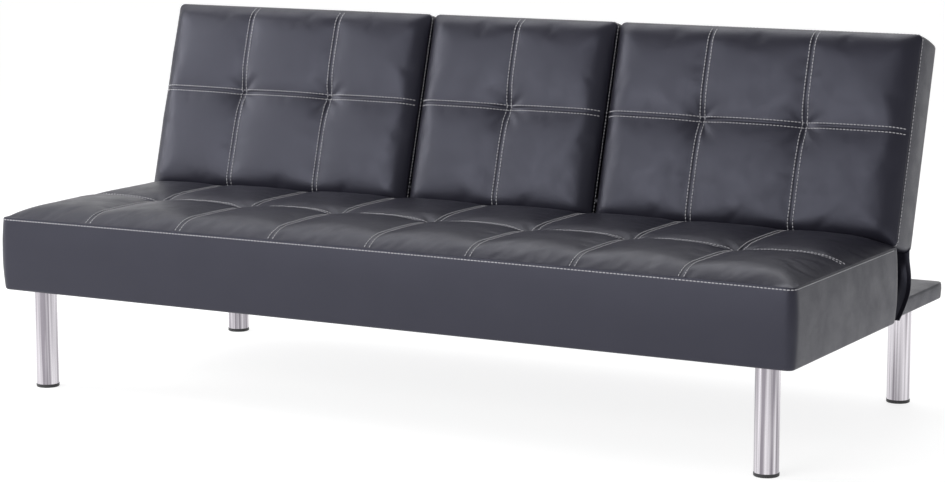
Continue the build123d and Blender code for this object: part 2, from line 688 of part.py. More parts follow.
for side, sign in SIDES:
    section_x = mirrored((SECTION_EDGE, BACK_END), sign)

    with BuildPart() as stiles:
        for x in (STILE_IN, STILE_OUT):
            back_block(mirrored(x, sign), FRAME_S, FRAME_W)
        for s, w in BACK_BOLTS:
            hole = mirrored((STILE_OUT[0], STILE_OUT[0] + 21), sign)
            back_rod(hole, s, w, BOLT_R + 0.1, mode=Mode.SUBTRACT)
        for s in BRACKET_BOLT_S:
            hole = mirrored((STILE_IN[0], STILE_IN[0] + 21), sign)
            back_rod(hole, s, -62.0, 2.6, mode=Mode.SUBTRACT)
        with BuildSketch(BACK_PLANE.offset(BAR_W[0] + FIT)):
            for x in BAR_BOLT_XS:
                for s in CROSSBARS:
                    with Locations((sign * x, s)):
                        Circle(2.6)
        extrude(amount=17, mode=Mode.SUBTRACT)
    save(stiles, f"back_stiles_{side}")

    with BuildPart() as rails:
        rail_x = mirrored((STILE_IN[1], STILE_OUT[0] - 0.1), sign)
        for low in (FRAME_S[0], FRAME_S[1] - RAIL_S):
            back_block(rail_x, (low, low + RAIL_S), FRAME_W)
        arm_notch = mirrored((BACK_ARM_X - 5, STILE_OUT[0]), sign)
        back_block(arm_notch, (25, 38), FRAME_W, mode=Mode.SUBTRACT)
    save(rails, f"back_rails_{side}")

    with BuildPart() as foam:
        with BuildSketch(BACK_PLANE.offset(FOAM_W[1])):
            section_outline(section_x, LEATHER + FIT)
        extrude(amount=FOAM_W[0] - FIT - FOAM_W[1])
        fillet(front_of(foam).edges(), radius=6.5)
        slot = mirrored(SLOT_X, sign)
        back_rod(slot, 0, 0, 16.0, mode=Mode.SUBTRACT)
        back_block(slot, (0, 66), (-50, -1), mode=Mode.SUBTRACT)
    save(foam, f"back_foam_{side}")

    with BuildPart() as cover:
        padded_shell(cover, section_x, (BACK_REAR, BACK_FRONT))
        back_rod(slot, 0, 0, 13.5, mode=Mode.SUBTRACT)
        back_block(slot, (0, BACK_FOOT + LEATHER), (-75, -1), mode=Mode.SUBTRACT)
        bar_hole = mirrored((SECTION_EDGE, SECTION_EDGE + LEATHER), sign)
        for s in CROSSBARS:
            across = (s - BAR_HALF_S - FIT, s + BAR_HALF_S + FIT)
            back_block(bar_hole, across, (BAR_W[0] + FIT, BAR_W[1] - FIT), mode=Mode.SUBTRACT)
        for s in BRACKET_BOLT_S:
            back_rod(bar_hole, s, -62.0, 3.0, mode=Mode.SUBTRACT)
    save(cover, f"back_cover_{side}")

WEB_W = (FOAM_W[1] - FIT, FRAME_W[0])
WEB_COUNT = 5
with BuildPart() as webbing:
    for sign in (-1, 1):
        for i in range(WEB_COUNT):
            s = 92.0 + i * 66.0
            web_x = mirrored((STILE_IN[0], STILE_OUT[1] - 5), sign)
            back_block(web_x, (s - 25, s + 25), (WEB_W[0] - 0.3, WEB_W[1] + 0.1))
save(webbing, "back_webbing")

# ================================================================ back: crossbars and centre panel
BAR_END = STILE_OUT[1] - 5
for node, s in (("back_crossbar_lower", LOW_BAR_S), ("back_crossbar_upper", HIGH_BAR_S)):
    with BuildPart() as bar:
        back_block((-BAR_END, BAR_END), (s - BAR_HALF_S, s + BAR_HALF_S), BAR_W)
        with BuildSketch(BACK_PLANE.offset(BAR_W[1])):
            with Locations(*[(sign * x, s) for sign in (-1, 1) for x in BAR_BOLT_XS]):
                Circle(2.6)
        extrude(amount=abs(BAR_W[1] - BAR_W[0]), mode=Mode.SUBTRACT)
    save(bar, node)

with BuildPart() as bar_bolts:
    places = [(sign * x, s) for sign in (-1, 1) for x in BAR_BOLT_XS for s in CROSSBARS]
    with BuildSketch(BACK_PLANE.offset(BAR_W[1])):
        with Locations(*places):
            Circle(2.5)
    extrude(amount=20)
    with BuildSketch(BACK_PLANE.offset(BAR_W[1])):
        with Locations(*places):
            Circle(5.0)
    extrude(amount=-2.4)
save(bar_bolts, "crossbar_screws")

PANEL_HALF = SECTION_EDGE - 0.5
with BuildPart() as panel:
    back_block((-PANEL_HALF, PANEL_HALF), (BACK_FOOT, BACK_HEAD - 4), PANEL_W)
    fillet(panel.edges().filter_by(lambda edge: abs(edge.tangent_at(0.5).dot(AHEAD)) > 0.9), radius=8)
save(panel, "back_centre_panel")

with BuildPart() as stops:
    with BuildSketch(BACK_PLANE.offset(BAR_W[0])):
        with Locations((-150, HIGH_BAR_S), (150, HIGH_BAR_S)):
            Circle(10)
    extrude(amount=CONSOLE_REAR - 0.3 - BAR_W[0])
save(stops, "console_stops")

# ================================================================ console pivots
BRACKET_X = (225.5, SECTION_EDGE - 0.3)
CONSOLE_PIN_R = 5.0
CONSOLE_PLATE_X = (214.2, 217.2)

with BuildPart() as brackets:
    for sign in (-1, 1):
        with BuildSketch(back_side_plane(min(mirrored(BRACKET_X, sign)))):
            with BuildSketch(mode=Mode.PRIVATE) as bracket_ends:
                with Locations((-CONSOLE_PIVOT_W, CONSOLE_PIVOT_S)):
                    Circle(9)
                with Locations((62, 84), (62, 126)):
                    Circle(9)
            make_hull(bracket_ends.sketch.edges())
        extrude(amount=BRACKET_X[1] - BRACKET_X[0])
        through = mirrored((BRACKET_X[0] - 1, BRACKET_X[1] + 1), sign)
        back_rod(through, CONSOLE_PIVOT_S, CONSOLE_PIVOT_W, CONSOLE_PIN_R + 0.02, mode=Mode.SUBTRACT)
        for s in BRACKET_BOLT_S:
            back_rod(through, s, -62.0, 2.6, mode=Mode.SUBTRACT)
save(brackets, "console_brackets")

with BuildPart() as console_pins:
    for sign in (-1, 1):
        shank = mirrored((209, BRACKET_X[1]), sign)
        back_rod(shank, CONSOLE_PIVOT_S, CONSOLE_PIVOT_W, CONSOLE_PIN_R)
        collar = mirrored((222.0, BRACKET_X[0] - 0.05), sign)
        back_rod(collar, CONSOLE_PIVOT_S, CONSOLE_PIVOT_W, 7.5)
save(console_pins, "console_pins")

with BuildPart() as bracket_screws:
    for sign in (-1, 1):
        for s in BRACKET_BOLT_S:
            back_rod(mirrored((BRACKET_X[0] - 2, BRACKET_X[0]), sign), s, -62.0, 5.0)
            back_rod(mirrored((BRACKET_X[0], STILE_IN[0] + 20), sign), s, -62.0, 2.5)
save(bracket_screws, "bracket_screws")

# ================================================================ console
CONSOLE_X = (-CONSOLE_EDGE, CONSOLE_EDGE)
CONSOLE_FOAM_W = (BACK_FRONT - LEATHER - FIT, -30.0)
CONSOLE_FRAME_W = (-30.2, CONSOLE_REAR + LEATHER + FIT)
CONSOLE_RAIL_X = (189.0, 214.0)
CONSOLE_RAIL_S = (26.0, 426.0)
TRAY_S = (236.0, 368.0)
TRAY_HALF = 112.0
CUP_X = 56.0
CUP_S = 302.0
CUP_R = 40.0
CUP_DEPTH = 38.0
TRAY_WALL = 2.0

with BuildPart() as console_rails:
    for sign in (-1, 1):
        back_block(mirrored(CONSOLE_RAIL_X, sign), CONSOLE_RAIL_S, CONSOLE_FRAME_W)
save(console_rails, "console_side_rails")

with BuildPart() as console_cross:
    for low in (CONSOLE_RAIL_S[0], 205.0, CONSOLE_RAIL_S[1] - 22):
        back_block((-CONSOLE_RAIL_X[0], CONSOLE_RAIL_X[0]), (low, low + 22), CONSOLE_FRAME_W)
save(console_cross, "console_cross_rails")

with BuildPart() as console_plates:
    for sign in (-1, 1):
        with BuildSketch(back_side_plane(min(mirrored(CONSOLE_PLATE_X, sign)))):
            with BuildSketch(mode=Mode.PRIVATE) as plate_ends:
                with Locations((-CONSOLE_PIVOT_W + 2.5, CONSOLE_PIVOT_S)):
                    Circle(10)
                with Locations((44, 60), (44, 110)):
                    Circle(10)
            make_hull(plate_ends.sketch.edges())
        extrude(amount=CONSOLE_PLATE_X[1] - CONSOLE_PLATE_X[0])
        through = mirrored((CONSOLE_PLATE_X[0] - 1, CONSOLE_PLATE_X[1] + 1), sign)
        back_rod(through, CONSOLE_PIVOT_S, CONSOLE_PIVOT_W, 7.0, mode=Mode.SUBTRACT)
save(console_plates, "console_hinge_plates")

with BuildPart() as bushings:
    for sign in (-1, 1):
        body = mirrored((CONSOLE_PLATE_X[0] - 2, CONSOLE_PLATE_X[1] + 1.5), sign)
        back_rod(body, CONSOLE_PIVOT_S, CONSOLE_PIVOT_W, 6.95)
        flange = mirrored((CONSOLE_PLATE_X[1] + 0.05, CONSOLE_PLATE_X[1] + 1.5), sign)
        back_rod(flange, CONSOLE_PIVOT_S, CONSOLE_PIVOT_W, 7.9)
        back_rod(body, CONSOLE_PIVOT_S, CONSOLE_PIVOT_W, CONSOLE_PIN_R + RUN, mode=Mode.SUBTRACT)
save(bushings, "console_bushings")


def cup_places():
    """Where the two cup wells stand on the console."""
    return Locations((-CUP_X, CUP_S), (CUP_X, CUP_S))


with BuildPart() as console_foam:
    back_block(
        (-CONSOLE_PLATE_X[0] + 2.4, CONSOLE_PLATE_X[0] - 2.4),
        (BACK_FOOT + LEATHER + 3 * FIT, BACK_HEAD - LEATHER - 3 * FIT),
        CONSOLE_FOAM_W,
    )
    with BuildSketch(BACK_PLANE.offset(CONSOLE_FOAM_W[1])):
        with cup_places():
            Circle(CUP_R + TRAY_WALL + 0.5)
    extrude(amount=CONSOLE_REAR + CUP_DEPTH + TRAY_WALL + 0.5 - CONSOLE_FOAM_W[1], mode=Mode.SUBTRACT)
    for sign in (-1, 1):
        pin_end = mirrored((205, 215), sign)
        back_rod(pin_end, CONSOLE_PIVOT_S, CONSOLE_PIVOT_W, 9.0, mode=Mode.SUBTRACT)
save(console_foam, "console_foam")

with BuildPart() as console_cover:
    padded_shell(console_cover, CONSOLE_X, (CONSOLE_REAR, BACK_FRONT))
    for sign in (-1, 1):
        end_wall = mirrored((CONSOLE_EDGE - LEATHER, CONSOLE_EDGE), sign)
        back_rod(end_wall, CONSOLE_PIVOT_S, CONSOLE_PIVOT_W, 8.5, mode=Mode.SUBTRACT)
    back_block(
        (-TRAY_HALF + 8, TRAY_HALF - 8),
        (TRAY_S[0] + 8, TRAY_S[1] - 8),
        (CONSOLE_REAR, CONSOLE_REAR + LEATHER),
        mode=Mode.SUBTRACT,
    )
save(console_cover, "console_cover")

with BuildPart() as tray:
    with BuildSketch(BACK_PLANE.offset(CONSOLE_REAR - 2.5)):
        with Locations((0, (TRAY_S[0] + TRAY_S[1]) / 2)):
            RectangleRounded(2 * TRAY_HALF, TRAY_S[1] - TRAY_S[0], 20)
    extrude(amount=2.4)
    with BuildSketch(BACK_PLANE.offset(CONSOLE_REAR - 1)):
        with cup_places():
            Circle(CUP_R + TRAY_WALL)
    extrude(amount=CUP_DEPTH + TRAY_WALL + 1)
    with BuildSketch(BACK_PLANE.offset(CONSOLE_REAR - 2.5)):
        with cup_places():
            Circle(CUP_R)
    extrude(amount=CUP_DEPTH + 2.5, mode=Mode.SUBTRACT)
save(tray, "console_cup_tray")
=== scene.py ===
import json
import math

import bpy
import numpy as np
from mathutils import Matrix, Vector


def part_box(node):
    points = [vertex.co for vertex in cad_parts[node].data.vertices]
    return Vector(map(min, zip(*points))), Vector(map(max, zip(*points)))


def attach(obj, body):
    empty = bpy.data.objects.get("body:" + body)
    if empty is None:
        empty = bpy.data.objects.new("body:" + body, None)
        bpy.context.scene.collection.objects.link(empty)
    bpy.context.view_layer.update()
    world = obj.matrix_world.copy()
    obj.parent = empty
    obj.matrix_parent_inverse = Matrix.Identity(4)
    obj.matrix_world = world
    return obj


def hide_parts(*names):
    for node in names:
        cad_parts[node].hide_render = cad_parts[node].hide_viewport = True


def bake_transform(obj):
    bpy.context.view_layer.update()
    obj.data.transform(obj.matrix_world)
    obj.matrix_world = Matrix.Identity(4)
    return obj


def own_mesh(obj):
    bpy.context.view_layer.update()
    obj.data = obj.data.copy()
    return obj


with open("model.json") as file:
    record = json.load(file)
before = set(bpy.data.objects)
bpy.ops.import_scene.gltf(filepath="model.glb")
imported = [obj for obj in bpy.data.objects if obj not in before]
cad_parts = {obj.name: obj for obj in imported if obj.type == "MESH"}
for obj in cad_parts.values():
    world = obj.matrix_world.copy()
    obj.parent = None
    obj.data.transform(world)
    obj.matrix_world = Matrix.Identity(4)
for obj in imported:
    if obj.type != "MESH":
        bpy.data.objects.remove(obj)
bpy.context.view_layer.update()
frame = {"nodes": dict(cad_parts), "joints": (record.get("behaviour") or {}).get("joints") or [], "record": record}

MM = 0.001
TILT = math.radians(16.54)
UP_SLOPE = np.array([0.0, math.sin(TILT), math.cos(TILT)])
AHEAD = np.array([0.0, -math.cos(TILT), math.sin(TILT)])
ALONG = np.array([1.0, 0.0, 0.0])
RISE = np.array([0.0, 0.0, 1.0])
REARWARD = np.array([0.0, 1.0, 0.0])


def joint(name):
    """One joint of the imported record."""
    return next(j for j in frame["joints"] if j["name"] == name)


PIVOT = np.array(joint("recline")["pos_m"])


# ------------------------------------------------------------------ materials
def shader(name, color, roughness, metallic=0.0):
    """A new material, its Principled shader and its source of positions."""
    material = bpy.data.materials.new(name)
    material.use_nodes = True
    nodes = material.node_tree.nodes
    bsdf = nodes["Principled BSDF"]
    bsdf.inputs["Base Color"].default_value = (*color, 1.0)
    bsdf.inputs["Roughness"].default_value = roughness
    bsdf.inputs["Metallic"].default_value = metallic
    place = nodes.new("ShaderNodeTexCoord")
    return material, bsdf, place


def link(material, source, target):
    """Joins two sockets of a material."""
    material.node_tree.links.new(source, target)


def noise(material, place, scale, detail=3.0, stretch=(1.0, 1.0, 1.0)):
    """A noise texture over the object's own position, in metres."""
    nodes = material.node_tree.nodes
    mapping = nodes.new("ShaderNodeMapping")
    mapping.inputs["Scale"].default_value = stretch
    texture = nodes.new("ShaderNodeTexNoise")
    texture.inputs["Scale"].default_value = scale
    texture.inputs["Detail"].default_value = detail
    link(material, place.outputs["Object"], mapping.inputs["Vector"])
    link(material, mapping.outputs["Vector"], texture.inputs["Vector"])
    return texture.outputs["Fac"]


def cells(material, place, scale):
    """Distance to the edges of small irregular cells, as in leather grain."""
    nodes = material.node_tree.nodes
    texture = nodes.new("ShaderNodeTexVoronoi")
    texture.feature = "DISTANCE_TO_EDGE"
    texture.inputs["Scale"].default_value = scale
    link(material, place.outputs["Object"], texture.inputs["Vector"])
    return texture.outputs["Distance"]


def ramp(material, source, low, high, stops):
    """Maps a texture value between the two stops to a range from low to high."""
    node = material.node_tree.nodes.new("ShaderNodeMapRange")
    node.inputs["From Min"].default_value = stops[0]
    node.inputs["From Max"].default_value = stops[1]
    node.inputs["To Min"].default_value = low
    node.inputs["To Max"].default_value = high
    link(material, source, node.inputs["Value"])
    return node.outputs["Result"]


def mix(material, factor, a, b):
    """A colour between a and b."""
    node = material.node_tree.nodes.new("ShaderNodeMix")
    node.data_type = "RGBA"
    node.inputs["A"].default_value = (*a, 1.0)
    node.inputs["B"].default_value = (*b, 1.0)
    link(material, factor, node.inputs["Factor"])
    return node.outputs["Result"]


def bump(material, bsdf, layers):
    """Stacks bump layers of (height, strength, distance in metres) on the shader's normal."""
    before = None
    for height, strength, distance in layers:
        node = material.node_tree.nodes.new("ShaderNodeBump")
        node.inputs["Strength"].default_value = strength
        node.inputs["Distance"].default_value = distance
        link(material, height, node.inputs["Height"])
        if before is not None:
            link(material, before.outputs["Normal"], node.inputs["Normal"])
        before = node
    link(material, before.outputs["Normal"], bsdf.inputs["Normal"])


def leather():
    """Near-black coated leather: fine pebble grain, slight mottling and soft gloss."""
    material, bsdf, place = shader("leather_black", (0.016, 0.016, 0.022), 0.4)
    bsdf.inputs["Specular IOR Level"].default_value = 0.5
    bsdf.inputs["Specular Tint"].default_value = (0.80, 0.82, 1.0, 1.0)
    mottle = noise(material, place, 9.0, 4.0)
    link(material, mix(material, mottle, (0.013, 0.0125, 0.019), (0.019, 0.018, 0.027)),
         bsdf.inputs["Base Color"])
    grain = cells(material, place, 620.0)
    patches = noise(material, place, 26.0, 5.0)
    link(material, ramp(material, patches, 0.34, 0.45, (0.3, 0.7)), bsdf.inputs["Roughness"])
    creases = noise(material, place, 95.0, 6.0)
    bump(material, bsdf, [
        (ramp(material, grain, 0.0, 1.0, (0.0, 0.22)), 0.28, 0.00025),
        (creases, 0.10, 0.0012),
    ])
    return material


def thread():
    """Light polyester thread, twisted."""
    material, bsdf, place = shader("thread_light", (0.62, 0.61, 0.60), 0.6)
    twist = noise(material, place, 900.0, 2.0)
    link(material, mix(material, twist, (0.34, 0.34, 0.36), (0.60, 0.59, 0.62)),
         bsdf.inputs["Base Color"])
    bump(material, bsdf, [(twist, 0.4, 0.0003)])
    return material


def brushed_steel():
    """Leg tubes: fine lengthways brushing, soft reflections, and painted reflections as light and dark vertical
    bands in the base colour.
    """
    material, bsdf, place = shader("steel_brushed", (0.62, 0.60, 0.61), 0.2, 1.0)
    lines = noise(material, place, 60.0, 6.0, (22.0, 22.0, 0.5))
    # Painted reflection: long vertical streaks set light and dark bands in the base colour, standing in for
    # reflected studio light and shade.
    painted_reflection_noise = noise(material, place, 60.0, 2.0, (2.0, 2.0, 0.03))
    painted_reflection_bands = ramp(material, painted_reflection_noise, 0.0, 1.0, (0.38, 0.62))
    link(material, ramp(material, lines, 0.12, 0.24, (0.3, 0.7)), bsdf.inputs["Roughness"])
    link(material, mix(material, painted_reflection_bands, (0.27, 0.25, 0.28), (0.78, 0.75, 0.79)),
         bsdf.inputs["Base Color"])
    bump(material, bsdf, [(lines, 0.12, 0.0002)])
    return material


def zinc():
    """Zinc plated hardware with faint clouding."""
    material, bsdf, place = shader("zinc_plate", (0.56, 0.57, 0.60), 0.38, 1.0)
    cloud = noise(material, place, 70.0, 4.0)
    link(material, mix(material, cloud, (0.46, 0.47, 0.50), (0.66, 0.66, 0.68)),
         bsdf.inputs["Base Color"])
    link(material, ramp(material, cloud, 0.28, 0.5, (0.3, 0.7)), bsdf.inputs["Roughness"])
    bump(material, bsdf, [(noise(material, place, 420.0), 0.1, 0.0002)])
    return material


def spring_steel():
    """Dark oiled spring wire."""
    material, bsdf, place = shader("spring_wire", (0.2, 0.2, 0.21), 0.4, 1.0)
    draw = noise(material, place, 240.0, 4.0)
    link(material, ramp(material, draw, 0.3, 0.52, (0.3, 0.7)), bsdf.inputs["Roughness"])
    bump(material, bsdf, [(draw, 0.15, 0.0002)])
    return material


def black_steel():
    """Black oxide pins and brackets."""
    material, bsdf, place = shader("oxide_black", (0.035, 0.035, 0.04), 0.45, 1.0)
    stain = noise(material, place, 180.0, 4.0)
    link(material, ramp(material, stain, 0.36, 0.58, (0.3, 0.7)), bsdf.inputs["Roughness"])
    bump(material, bsdf, [(stain, 0.12, 0.0002)])
    return material


def pine():
    """Planed pine with long grain."""
    material, bsdf, place = shader("pine_wood", (0.7, 0.5, 0.3), 0.55)
    grain = noise(material, place, 16.0, 6.0, (0.12, 1.6, 3.0))
    link(material, mix(material, grain, (0.52, 0.34, 0.18), (0.80, 0.62, 0.41)),
         bsdf.inputs["Base Color"])
    bump(material, bsdf, [(noise(material, place, 130.0, 5.0, (0.1, 1.5, 2.5)), 0.25, 0.0005)])
    return material


def foam():
    """Open cell cushion foam."""
    material, bsdf, place = shader("foam_cream", (0.84, 0.76, 0.56), 0.95)
    pores = cells(material, place, 420.0)
    link(material, mix(material, ramp(material, pores, 0.0, 1.0, (0.0, 0.3)),
                       (0.62, 0.54, 0.36), (0.87, 0.80, 0.61)), bsdf.inputs["Base Color"])
    bump(material, bsdf, [(pores, 0.5, 0.001)])
    return material


def cloth(name, dark, light, scale, stretch=(1.0, 1.0, 1.0)):
    """A matt woven or felted cloth."""
    material, bsdf, place = shader(name, light, 0.9)
    weave = noise(material, place, scale, 4.0, stretch)
    link(material, mix(material, weave, dark, light), bsdf.inputs["Base Color"])
    bump(material, bsdf, [(weave, 0.4, 0.0005)])
    return material


def plastic(name, color, roughness):
    """Moulded plastic with a fine spark texture."""
    material, bsdf, place = shader(name, color, roughness)
    spark = noise(material, place, 700.0, 2.0)
    link(material, ramp(material, spark, roughness - 0.06, roughness + 0.1, (0.3, 0.7)),
         bsdf.inputs["Roughness"])
    bump(material, bsdf, [(spark, 0.2, 0.0002)])
    return material


LEATHER = leather()
THREAD = thread()
FINISHES = {
    "black_leather": LEATHER,
    "foam": foam(),
    "pine": pine(),
    "leg_steel": brushed_steel(),
    "black_plastic": plastic("plastic_black", (0.022, 0.022, 0.024), 0.42),
    "rubber": plastic("rubber_black", (0.02, 0.02, 0.02), 0.75),
    "nylon": plastic("nylon_black", (0.03, 0.03, 0.032), 0.45),
    "dust_cloth": cloth("dust_cloth", (0.012, 0.012, 0.013), (0.035, 0.035, 0.037), 900.0),
    "felt": cloth("felt_grey", (0.22, 0.21, 0.20), (0.42, 0.41, 0.40), 260.0),
    "webbing": cloth("web_brown", (0.07, 0.06, 0.05), (0.2, 0.17, 0.14), 300.0, (0.3, 2.0, 2.0)),
    "spring_steel": spring_steel(),
    "zinc_steel": zinc(),
    "black_steel": black_steel(),
}


def paint_cad():
    """Gives every CAD node the finish of its material slot."""
    for row in frame["record"]["subparts"]:
        node = frame["nodes"][row["node"]]
        node.data.materials.clear()
        node.data.materials.append(FINISHES[row["material_slot"]])


# ------------------------------------------------------------------ shapes in numbers
SEAM_SPREAD = (0.0, 2.0, 4.2, 6.5, 9.5, 14.0)  # mm from a seam: grid lines stand closer there
EDGE_SPREAD = (0.0, 2.0, 5.0, 9.0, 15.0)
NOTCH_SPREAD = (0.0, 1.0)
ROW_GAP = 5.5 * MM  # from a seam to each row of its twin stitching
LEAST = 1e-9  # keeps a divisor above zero


def grid_lines(low, high, seams, step, notches=()):
    """Positions of grid lines from low to high, closer beside seams, edges and notches."""
    marks = {round(low + d * MM, 6) for d in EDGE_SPREAD}
    marks |= {round(high - d * MM, 6) for d in EDGE_SPREAD}
    for side in (-1, 1):
        for seam in seams:
            marks |= {round(seam + side * d * MM, 6) for d in SEAM_SPREAD}
        for notch in notches:
            marks |= {round(notch + side * (NOTCH_HALF + d * MM), 6) for d in NOTCH_SPREAD}
    marks = sorted(marks)
    lines = [marks[0]]
    for mark in marks[1:]:
        parts = max(1, round((mark - lines[-1]) / step))
        lines.extend(np.linspace(lines[-1], mark, parts + 1)[1:])
    return np.array(lines)


WAVES = 7
WAVE_PITCH = 16.0  # radians per metre, at most


def wander(seed, *axes):
    """A smooth repeatable unevenness over points, mostly from -1 to 1, from a few waves."""
    rng = np.random.default_rng(seed)
    total = np.zeros_like(axes[0])
    for _ in range(WAVES):
        phase = rng.uniform(0, 2 * math.pi)
        wave = phase
        for axis in axes:
            wave = wave + axis * rng.uniform(-1, 1) * WAVE_PITCH
        total = total + np.sin(wave)
    return total / 4.0


ROLLS = (62.0 * MM, 62.0 * MM)  # widths of the rolled edges of a stuffed face, along a and b
ROLL_POWER = 3  # a higher one gives a flatter middle and a steeper edge
DOME = 0.12  # share of the rise lost between the middle and an edge, before the roll
NOTCH_DEEP = 8.5 * MM  # notch in a cushion's rear edge, for a hinge arm
NOTCH_HALF = 7.0 * MM  # half its width
NOTCH_HIGH = 33.0 * MM  # its depth under the edge seam
NOTCH_BLEND = 40.0 * MM  # how far before the rear edge the face's grid begins to give way
VALLEY_WIDE = 24.0 * MM
VALLEY_POWER = 1.35
GROOVE_DEEP = 1.6 * MM
GROOVE_WIDE = 3.2 * MM
TUFT_WIDE = 36.0 * MM
TUFT_POWER = 1.15
PUCKERS = 7  # creases round a tuft
PUCKER_DEEP = 0.2
PUCKER_AT = 28.0 * MM  # from the tuft
PUCKER_WIDE = 20.0 * MM


def crown(a, b, half_a, half_b, rise, rolls=ROLLS):
    """A stuffed slab's rise: nearly level in the middle and rolling down steeply to its edges."""
    shares = []
    for place, half, roll in ((a, half_a, rolls[0]), (b, half_b, rolls[1])):
        near = np.clip((half - np.abs(place)) / roll, 0, 1)
        dome = 1 - DOME * np.clip(np.abs(place) / half, 0, 1) ** 2
        shares.append((1 - (1 - near) ** ROLL_POWER) * dome)
    return rise * shares[0] * shares[1]


def quilt(a, b, seams_a, seams_b, puff, valley, tuft):
    """Sewn relief: puffed cells, a valley with a narrow groove along each seam, and deep tufts."""
    relief = np.zeros_like(a)
    sides = []
    for axis, seams in ((a, seams_a), (b, seams_b)):
        near = np.full_like(axis, 1.0)
        for seam in seams:
            near = np.minimum(near, np.abs(axis - seam))
        sides.append(near)
    for near in sides:
        relief -= valley * np.exp(-((near / VALLEY_WIDE) ** VALLEY_POWER))
        relief -= GROOVE_DEEP * np.exp(-((near / GROOVE_WIDE) ** 2))
    for seam_a in seams_a:
        for seam_b in seams_b:
            away = np.hypot(a - seam_a, b - seam_b)
            turn = np.arctan2(b - seam_b, a - seam_a)
            ring = np.exp(-(((away - PUCKER_AT) / PUCKER_WIDE) ** 2))
            pucker = 1 + PUCKER_DEEP * np.cos(PUCKERS * turn + 9 * seam_a + 2) * ring
            relief -= tuft * pucker * np.exp(-((away / TUFT_WIDE) ** TUFT_POWER))
    return relief + puff


def rounded_plan(a, b, half_a, half_b, radius):
    """Moves points of a rectangle near its corners onto round corners."""
    u = np.clip((np.abs(a) - half_a + radius) / radius, 0, 1)
    v = np.clip((np.abs(b) - half_b + radius) / radius, 0, 1)
    corner = (u > 0) & (v > 0)
    new_u = np.where(corner, u * np.sqrt(1 - v * v / 2), u)
    new_v = np.where(corner, v * np.sqrt(1 - u * u / 2), v)
    new_a = np.sign(a) * np.where(corner, half_a - radius + radius * new_u, np.abs(a))
    new_b = np.sign(b) * np.where(corner, half_b - radius + radius * new_v, np.abs(b))
    return new_a, new_b


def catmull(values, where):
    """Smooth interpolation of rows of values at fractional row numbers."""
    count = len(values)
    whole = np.clip(np.floor(where).astype(int), 0, count - 2)
    t = (where - whole)[:, None, None]
    p0, p1 = values[np.maximum(whole - 1, 0)], values[whole]
    p2, p3 = values[whole + 1], values[np.minimum(whole + 2, count - 1)]
    return 0.5 * (2 * p1 + (p2 - p0) * t + (2 * p0 - 5 * p1 + 4 * p2 - p3) * t**2
                  + (3 * p1 - p0 - 3 * p2 + p3) * t**3)


# ------------------------------------------------------------------ cloth
CLOTH_STEP = 9.0 * MM
CLOTH_FRAMES = 20
SEAM_HOLD = 0.8  # how firmly the cloth is held along a seam, where 1 is pinned
SEAM_WIDE = 6.0 * MM
TUFT_PIN = 12.0 * MM  # radius that a tuft pins
LEAST_HOLD = 0.02


def grid_quads(rows, columns):
    """Point numbers of a grid, and its faces."""
    index = np.arange(rows * columns).reshape(rows, columns)
    return index, np.stack([index[:-1, :-1], index[1:, :-1], index[1:, 1:], index[:-1, 1:]], -1)


def held(a, b, seams_a, seams_b):
    """How firmly each point of a cloth is held: along its seams, at its tufts and round its edge."""
    hold = np.zeros_like(a)
    for axis, seams in ((a, seams_a), (b, seams_b)):
        for seam in seams:
            hold = np.maximum(hold, SEAM_HOLD * np.exp(-((axis - seam) / SEAM_WIDE) ** 2))
    for seam_a in seams_a:
        for seam_b in seams_b:
            hold = np.where(np.hypot(a - seam_a, b - seam_b) < TUFT_PIN, 1.0, hold)
    hold[0, :] = hold[-1, :] = hold[:, 0] = hold[:, -1] = 1.0
    return hold


def relaxed(height, half_a, half_b, seams_a, seams_b, pressure, slack, cap):
    """Sews a grid of cloth down at its edges and tufts, blows it up and returns how its points
    moved, as an array over an even grid. height(a, b) is the cloth's starting shape."""
    count_a = int(2 * half_a / CLOTH_STEP) + 1
    count_b = int(2 * half_b / CLOTH_STEP) + 1
    even_a = np.linspace(-half_a, half_a, count_a)
    even_b = np.linspace(-half_b, half_b, count_b)
    a, b = np.meshgrid(even_a, even_b, indexing="ij")
    start = np.stack([a, b, height(a, b)], axis=-1)
    mesh = bpy.data.meshes.new("cloth")
    quads = grid_quads(count_a, count_b)[1]
    mesh.from_pydata(start.reshape(-1, 3).tolist(), [], quads.reshape(-1, 4).tolist())
    sheet = bpy.data.objects.new("cloth", mesh)
    bpy.context.scene.collection.objects.link(sheet)
    group = sheet.vertex_groups.new(name="held")
    for number, weight in enumerate(held(a, b, seams_a, seams_b).ravel()):
        if weight > LEAST_HOLD:
            group.add([number], float(weight), "REPLACE")

    modifier = sheet.modifiers.new("cloth", "CLOTH")
    settings = modifier.settings
    settings.quality = 5
    settings.mass = 0.25
    settings.tension_stiffness = 12
    settings.compression_stiffness = 8
    settings.shear_stiffness = 4
    settings.bending_stiffness = 0.35
    settings.air_damping = 4
    settings.use_pressure = True
    settings.uniform_pressure_force = pressure
    settings.shrink_min = -slack
    settings.vertex_group_mass = "held"
    settings.effector_weights.gravity = 0.0
    modifier.collision_settings.use_collision = False
    for number in range(1, CLOTH_FRAMES + 1):
        bpy.context.scene.frame_set(number)
    shaped = sheet.evaluated_get(bpy.context.evaluated_depsgraph_get())
    ended = np.array([v.co for v in shaped.data.vertices]).reshape(start.shape)
    bpy.data.objects.remove(sheet)
    bpy.context.scene.frame_set(1)
    moved = ended - start
    length = np.linalg.norm(moved, axis=-1, keepdims=True)
    return moved * np.minimum(1.0, cap / np.maximum(length, LEAST))


